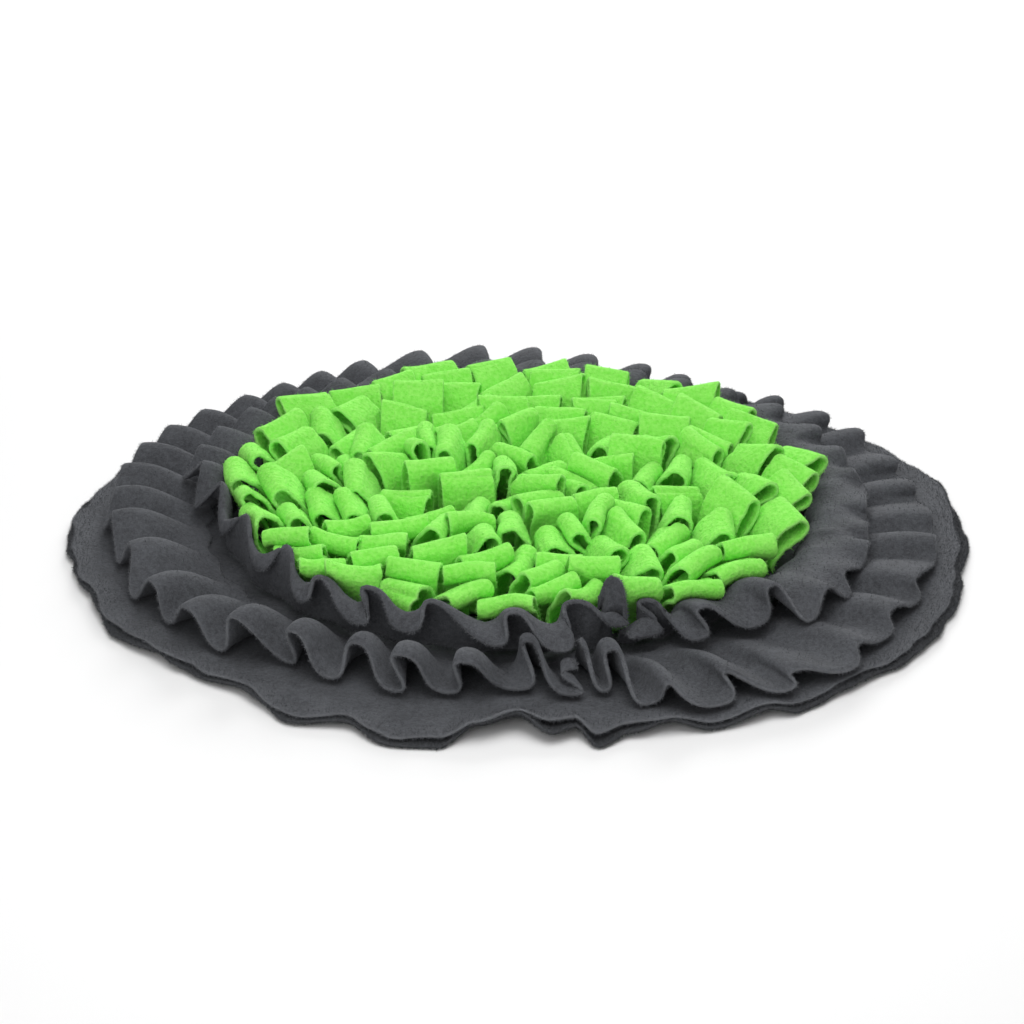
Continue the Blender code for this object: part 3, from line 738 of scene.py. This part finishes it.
def settle(loops, full_loops, tilts, obstacle):
    """Settled mid cloths of the loops, once they have grown into the full ones."""
    cloths = np.array([loop_points(loop) for loop in loops])
    full = np.array([loop_points(loop, tilt) for loop, tilt in zip(full_loops, tilts)])
    links = [
        (down, across, stiff, spans(cloths, down, across), spans(full, down, across))
        for down, across, stiff in LINKS
    ]
    growth = np.array([there.width / here.width for here, there in zip(loops, full_loops)])
    share_free = np.ones(cloths.shape[:3])
    share_free[:, 0] = share_free[:, -1] = 0
    count, rows, columns = cloths.shape[:3]
    loop_of = np.repeat(np.arange(count), rows * columns)
    row_of = np.tile(np.repeat(np.arange(rows), columns), count)
    loop_of = np.concatenate([loop_of, np.full(len(obstacle), -1)])
    row_of = np.concatenate([row_of, np.zeros(len(obstacle), int)])
    movable = np.concatenate([share_free.ravel(), np.zeros(len(obstacle))])
    size = np.ones(count)
    for turn in range(SETTLE_TURNS):
        before = size
        grown = min(1, turn / GROW_TURNS)
        size = 1 + (growth - 1) * grown
        for root in (cloths[:, :1], cloths[:, -1:]):
            centre = root.mean(axis=2, keepdims=True)
            root[:] = centre + (root - centre) * (size / before)[:, None, None, None]
        cloths[:, 1:-1, :, 2] -= SINK
        for _ in range(2):
            for down, across, stiff, first_rest, full_rest in links:
                pull(cloths, share_free, down, across, mix(first_rest, full_rest, grown), stiff)
        places = np.concatenate([cloths.reshape(-1, 3), obstacle])
        if turn % PAIR_TURNS == 0:
            first, second = close_pairs(places, CONTACT + PAIR_MARGIN)
            apart = loop_of[first] != loop_of[second]
            apart |= np.abs(row_of[first] - row_of[second]) > OWN_ROWS
            pairs = first[apart], second[apart]
        push_apart(places, movable, loop_of, pairs)
        cloths = places[: count * rows * columns].reshape(count, rows, columns, 3)
        cloths[:, 1:-1, :, 2] = np.maximum(cloths[:, 1:-1, :, 2], LOOP_ROOT_Z)
    return cloths


def resampled(values, places):
    """Points of a smooth curve through evenly spaced values, along their first axis."""
    last = len(values) - 1
    step = np.clip(np.floor(places).astype(int), 0, last - 1)
    share = (places - step).reshape(-1, *([1] * (values.ndim - 1)))
    before, here = values[np.maximum(step - 1, 0)], values[step]
    there, after = values[step + 1], values[np.minimum(step + 2, last)]
    return here + 0.5 * share * (
        there - before
        + share * (2 * before - 5 * here + 4 * there - after
                   + share * (3 * (here - there) + after - before))
    )


def loop_cloth(cloth):
    """Points and faces of one folded strip round its settled mid cloth."""
    width = np.linalg.norm(np.diff(cloth[LOOP_ROWS // 2], axis=0), axis=1).sum()
    shaped = np.array(LOOP_ROUNDING) / width
    shares = np.concatenate([shaped, np.linspace(0, 1, LOOP_COLUMNS)[1:-1], 1 - shaped[::-1]])
    points = resampled(cloth, np.linspace(0, LOOP_ROWS - 1, FINE_ROWS))
    points = resampled(points.transpose(1, 0, 2), shares * (LOOP_COLUMNS - 1)).transpose(1, 0, 2)
    fullness = np.ones(points.shape[:2])
    fullness[:, : len(LOOP_ROUNDING)] = edge_shape(LOOP_ROUNDING)
    fullness[:, -len(LOOP_ROUNDING):] = edge_shape(LOOP_ROUNDING[::-1])
    fullness[0] = fullness[-1] = 0
    return cloth_grid(points, fullness, False)


def pile(frame):
    """Mid cloths of all loops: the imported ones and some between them, settled together."""
    placed = list(packed_loops(frame["nodes"]["loop_pile"]))
    loops = placed + extra_loops(placed)
    rng = random.Random(PILE_SEED)
    full_loops = [
        loop._replace(
            width=rng.uniform(*FULL_WIDTH), height=loop.height + rng.uniform(*FULL_GROWTH),
            fold_left=rng.uniform(*FULL_FOLD), fold_right=rng.uniform(*FULL_FOLD),
        )
        for loop in loops
    ]
    rows = np.linspace(0, 1, OBSTACLE_ROWS)
    obstacle = ruffle_points(UPPER_RUFFLE, OBSTACLE_STEPS, rows).reshape(-1, 3)
    tilts = [rng.uniform(-FULL_TILT, FULL_TILT) for _ in loops]
    return settle(loops, full_loops, tilts, obstacle)


# Finishes


def linear(code):
    """Linear colour from an sRGB hex code."""
    shares = [int(code[k:k + 2], 16) / 255 for k in (1, 3, 5)]
    return (*(s / 12.92 if s <= 0.04045 else ((s + 0.055) / 1.055) ** 2.4 for s in shares), 1.0)


def add(tree, kind, links=None, **settings):
    """Adds a node with its settings. A link's value is a number, a colour or a socket."""
    node = tree.nodes.new(kind)
    for name, value in settings.items():
        setattr(node, name, value)
    for name, value in (links or {}).items():
        if isinstance(value, bpy.types.NodeSocket):
            tree.links.new(value, node.inputs[name])
        else:
            node.inputs[name].default_value = value
    return node


def fleece(name, low, high, sheen_tint, pebble_depth, pebble_share):
    """Brushed anti-pill polyester fleece: matt, with a nap that catches light.

    Pebbles of nap give the lime its grainy light and dark and the charcoal its felted
    mottle, their colour painted darker in their hollows as shade. Fine fibre noise breaks
    up both, clouds are where the nap lies differently, and a cut edge is painted lighter
    toward the sheen tint: painted sheen.
    """
    material = bpy.data.materials.new(name)
    material.use_nodes = True
    tree = material.node_tree
    tree.nodes.clear()
    place = add(tree, "ShaderNodeTexCoord").outputs["Object"]
    pebble = add(tree, "ShaderNodeTexNoise", {
        "Vector": place, "Scale": 1 / (NAP_PEBBLE * MM), "Detail": 1.5, "Roughness": 0.5,
    })
    fibre = add(tree, "ShaderNodeTexNoise", {
        "Vector": place, "Scale": 1 / (NAP_FIBRE * MM), "Detail": 2.0, "Roughness": 0.6,
    })
    cloud = add(tree, "ShaderNodeTexNoise", {
        "Vector": place, "Scale": 1 / (NAP_CLOUD * MM), "Detail": 3.0, "Roughness": 0.55,
    })
    grain = add(tree, "ShaderNodeMix", {
        "Factor": pebble_share, 2: fibre.outputs["Fac"], 3: pebble.outputs["Fac"],
    }, data_type="FLOAT")
    nap = add(tree, "ShaderNodeMix", {
        "Factor": 0.3, 2: grain.outputs[0], 3: cloud.outputs["Fac"],
    }, data_type="FLOAT")
    # Painted shade in part: the colour darkens where the pebble and fibre bumps are low, in their
    # hollows; the cloud adds random tone
    shade = add(tree, "ShaderNodeMapRange", {
        "Value": nap.outputs[0], "From Min": 0.36, "From Max": 0.64,
    })
    face = add(tree, "ShaderNodeMix", {
        "Factor": shade.outputs[0], 6: linear(low), 7: linear(high),
    }, data_type="RGBA")
    cut = add(tree, "ShaderNodeAttribute", attribute_name=CUT_EDGE)
    # Painted sheen: a cut edge's colour is mixed toward the pale sheen tint
    painted_sheen_share = add(tree, "ShaderNodeMath", {0: cut.outputs["Fac"], 1: CUT_SHEEN_PAINT},
                    operation="MULTIPLY")
    colour = add(tree, "ShaderNodeMix", {
        "Factor": painted_sheen_share.outputs[0], 6: face.outputs[2], 7: linear(sheen_tint),
    }, data_type="RGBA")
    coarse = add(tree, "ShaderNodeBump", {
        "Height": pebble.outputs["Fac"], "Strength": 1.0, "Distance": pebble_depth * MM,
    })
    fine = add(tree, "ShaderNodeBump", {
        "Height": fibre.outputs["Fac"], "Strength": 0.8, "Distance": 0.3 * MM,
        "Normal": coarse.outputs["Normal"],
    })
    shader = add(tree, "ShaderNodeBsdfPrincipled", {
        "Base Color": colour.outputs[2], "Roughness": 0.95, "Specular IOR Level": 0.15,
        "Sheen Weight": 0.3, "Sheen Roughness": 0.55, "Sheen Tint": linear(sheen_tint),
        "Normal": fine.outputs["Normal"],
    })
    add(tree, "ShaderNodeOutputMaterial", {"Surface": shader.outputs["BSDF"]})
    return material


# Fibres that stand off the cloth


FIBRE_INPUTS = {
    "On the face": "NodeSocketFloat",
    "At a cut": "NodeSocketFloat",
    "Length": "NodeSocketFloat",
    "Width": "NodeSocketFloat",
    "Seed": "NodeSocketInt",
    "Material": "NodeSocketMaterial",
}


def fibre_nodes():
    """Nodes that scatter slim pointed fibres over cloth, more of them where it was cut."""
    tree = bpy.data.node_groups.new("short fibres", "GeometryNodeTree")
    tree.interface.new_socket("Geometry", in_out="INPUT", socket_type="NodeSocketGeometry")
    for name, kind in FIBRE_INPUTS.items():
        tree.interface.new_socket(name, in_out="INPUT", socket_type=kind)
    tree.interface.new_socket("Geometry", in_out="OUTPUT", socket_type="NodeSocketGeometry")
    given = add(tree, "NodeGroupInput").outputs
    cut = add(tree, "GeometryNodeInputNamedAttribute", {"Name": CUT_EDGE}, data_type="FLOAT")
    density = add(tree, "ShaderNodeMix", {
        "Factor": cut.outputs[0], 2: given["On the face"], 3: given["At a cut"],
    }, data_type="FLOAT")
    roots = add(tree, "GeometryNodeDistributePointsOnFaces", {
        "Mesh": given["Geometry"], "Density": density.outputs[0], "Seed": given["Seed"],
    })
    blade = add(tree, "GeometryNodeMeshCircle", {"Vertices": 3, "Radius": 1.0}, fill_type="NGON")
    slim = add(tree, "ShaderNodeCombineXYZ", {"X": given["Length"], "Y": given["Width"], "Z": 1.0})
    fibre = add(tree, "GeometryNodeTransform", {
        "Geometry": blade.outputs[0], "Rotation": (0, -math.pi / 2, 0), "Scale": slim.outputs[0],
    })
    tilt = add(tree, "FunctionNodeRandomValue", {
        0: (-FIBRE_TILT, -FIBRE_TILT, 0), 1: (FIBRE_TILT, FIBRE_TILT, 2 * math.pi),
        "Seed": given["Seed"],
    }, data_type="FLOAT_VECTOR")
    turn = add(tree, "FunctionNodeEulerToRotation", {0: tilt.outputs[0]})
    stand = add(tree, "FunctionNodeRotateRotation", {
        0: roots.outputs["Rotation"], 1: turn.outputs[0],
    }, rotation_space="LOCAL")
    size = add(tree, "FunctionNodeRandomValue", {2: 0.5, 3: 1.2, "Seed": given["Seed"]},
               data_type="FLOAT")
    fibres = add(tree, "GeometryNodeInstanceOnPoints", {
        "Points": roots.outputs["Points"], "Instance": fibre.outputs[0],
        "Rotation": stand.outputs[0], "Scale": size.outputs[1],
    })
    real = add(tree, "GeometryNodeRealizeInstances", {0: fibres.outputs[0]})
    coloured = add(tree, "GeometryNodeSetMaterial", {
        "Geometry": real.outputs[0], "Material": given["Material"],
    })
    add(tree, "NodeGroupOutput", {0: coloured.outputs[0]})
    return tree


def fuzz(cloth, nodes, material, face_mm2, cut_mm2, seed):
    """The fibres of a piece of cloth, by how many there are on a square millimetre."""
    holder = bpy.data.objects.new(cloth.name + "_fuzz", cloth.data)
    bpy.context.collection.objects.link(holder)
    modifier = holder.modifiers.new("fibres", "NODES")
    modifier.node_group = nodes
    values = (
        face_mm2 / MM**2, cut_mm2 / MM**2, FIBRE_LENGTH * MM, FIBRE_WIDTH * MM, seed, material,
    )
    names = {item.name: item.identifier for item in nodes.interface.items_tree}
    for name, value in zip(FIBRE_INPUTS, values):
        modifier[names[name]] = value
    graph = bpy.context.evaluated_depsgraph_get()
    mesh = bpy.data.meshes.new_from_object(holder.evaluated_get(graph))
    holder.modifiers.clear()
    holder.data = mesh
    mesh.name = holder.name
    return holder


# Surroundings, in metres

FLOOR_HALF = 6.0
FLOOR_GAP = 0.0006      # keeps the floor off the face that rests on it
SKY = 0.36              # brightness of the white all round
# Softboxes: name, place, size and power
LIGHTS = (
    ("overhead softbox", (0.1, 0.1, 1.1), 0.7, 4.0),
    ("softbox over the front", (0.0, -0.4, 0.7), 0.45, 1.9),
    ("low softbox behind", (0.2, 1.5, 0.62), 0.7, 20.0),
    ("fill softbox in front", (-0.5, -1.6, 0.7), 1.2, 8.0),
)


def floor():
    """A matt white paper sweep, lit to the picture's white so that only the shadow shows."""
    mesh = bpy.data.meshes.new("floor")
    half, z = FLOOR_HALF, -FLOOR_GAP
    mesh.from_pydata([(-half, -half, z), (half, -half, z), (half, half, z), (-half, half, z)], [],
                     [(0, 1, 2, 3)])
    material = bpy.data.materials.new("white sweep")
    material.use_nodes = True
    shader = material.node_tree.nodes["Principled BSDF"]
    shader.inputs["Base Color"].default_value = linear("#F0F0F0")
    shader.inputs["Roughness"].default_value = 1.0
    mesh.materials.append(material)
    ground = bpy.data.objects.new("floor", mesh)
    bpy.context.collection.objects.link(ground)


def camera():
    lens = bpy.data.cameras.new("camera")
    lens.sensor_width = SENSOR
    lens.lens = SENSOR * FOCAL_PX / PICTURE_PX
    lens.shift_x = (0.5 * PICTURE_PX - CENTRE_PX[0]) / PICTURE_PX
    lens.shift_y = (CENTRE_PX[1] - 0.5 * PICTURE_PX) / PICTURE_PX
    lens.clip_end = 20.0
    holder = bpy.data.objects.new("camera", lens)
    rise = math.radians(CAMERA_ELEVATION)
    holder.location = Vector((0, -math.cos(rise), math.sin(rise))) * CAMERA_DISTANCE * MM
    holder.rotation_euler = (math.pi / 2 - rise, 0, 0)
    bpy.context.collection.objects.link(holder)
    bpy.context.scene.camera = holder


def light(name, place, size, power):
    lamp = bpy.data.lights.new(name, "AREA")
    lamp.size = size
    lamp.energy = power
    holder = bpy.data.objects.new(name, lamp)
    holder.location = place
    holder.rotation_euler = (-Vector(place)).to_track_quat("-Z", "Y").to_euler()
    bpy.context.collection.objects.link(holder)


def studio():
    world = bpy.data.worlds.new("studio")
    world.use_nodes = True
    world.node_tree.nodes["Background"].inputs["Color"].default_value = linear("#FFFFFF")
    world.node_tree.nodes["Background"].inputs["Strength"].default_value = SKY
    bpy.context.scene.world = world
    for row in LIGHTS:
        light(*row)
    bpy.context.scene.view_settings.view_transform = "Standard"


# The mat


# One sewn piece: its object, the node it stands for, its slot, its material, how many
# fibres stand on a square millimetre of its faces and its cuts, its cut size and area,
# how it is held, and what it rests on
Sewn = namedtuple("Sewn", "piece node slot material face_mm2 cut_mm2 flat area held rests_on")


def sewn_pieces(frame):
    """The five pieces of the mat in lime and charcoal fleece, with a darker charcoal copy that is
    painted shade.
    """
    # Dark grey anti-pill fleece: soft and matt, with a faint felted mottle
    charcoal = fleece("charcoal anti-pill fleece", "#3B3C3F", "#54565A", "#7C7E82", 0.3, 0.4)
    # The same cloth in lime: its pebbled nap reads as a fine grain of light and shade
    green = fleece("lime anti-pill fleece", "#7ADC4B", "#95E966", "#B8F494", 0.8, 0.75)
    # The lower sheet in a darker copy of the charcoal fleece: painted shade for the dark line under
    # the upper sheet's edge
    shade_painted_charcoal = fleece("charcoal fleece darkened for shade", "#2C2D2F", "#3D3E41", "#55575A", 0.3, 0.4)
    lower_sheet = base_sheet("lower_sheet", 0.0, 0.0, shade_painted_charcoal)
    upper_sheet = base_sheet("upper_sheet", CLOTH + LAYER_GAP, 1.0, charcoal)
    lower = frill("lower_frill", LOWER_RUFFLE, LOWER_ROWS, LOWER_DEPTH, charcoal)
    upper = frill("upper_frill", UPPER_RUFFLE, UPPER_ROWS, UPPER_DEPTH, charcoal)
    loops = cloth_piece("loops", [loop_cloth(cloth) for cloth in pile(frame)], green)
    return (
        Sewn(lower_sheet, "base_lower", "charcoal_fleece", shade_painted_charcoal, 0.0, 8.0,
             SHEET_CUT, SHEET_AREA, "laid", ()),
        Sewn(upper_sheet, "base_upper", "charcoal_fleece", charcoal, 0.1, 5.0,
             SHEET_CUT, SHEET_AREA, "laid", ("lower_sheet",)),
        Sewn(lower, "lower_ruffle", "charcoal_fleece", charcoal, 0.15, 5.0,
             LOWER_CUT, None, "gathered", ("upper_sheet",)),
        Sewn(upper, "upper_ruffle", "charcoal_fleece", charcoal, 0.2, 5.0,
             UPPER_CUT, None, "gathered", ("upper_sheet",)),
        Sewn(loops, "loop_pile", "green_fleece", green, 0.15, 1.0,
             LOOPS_CUT, None, "folded", ("upper_sheet",)),
    )


def mat(frame):
    nodes = fibre_nodes()
    for seed, row in enumerate(sewn_pieces(frame)):
        fibres = fuzz(row.piece, nodes, row.material, row.face_mm2, row.cut_mm2, seed)
        for thing in (row.piece, fibres):
            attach(thing, "root")
        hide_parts(row.node)
        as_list(row.rests_on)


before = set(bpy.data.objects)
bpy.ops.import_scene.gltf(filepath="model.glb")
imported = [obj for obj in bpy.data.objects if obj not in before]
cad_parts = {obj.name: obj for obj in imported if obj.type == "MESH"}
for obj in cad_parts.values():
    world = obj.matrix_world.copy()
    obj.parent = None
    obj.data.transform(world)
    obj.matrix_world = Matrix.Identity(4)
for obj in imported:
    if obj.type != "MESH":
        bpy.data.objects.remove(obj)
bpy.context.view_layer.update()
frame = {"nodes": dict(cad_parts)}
camera()
studio()
floor()
mat(frame)
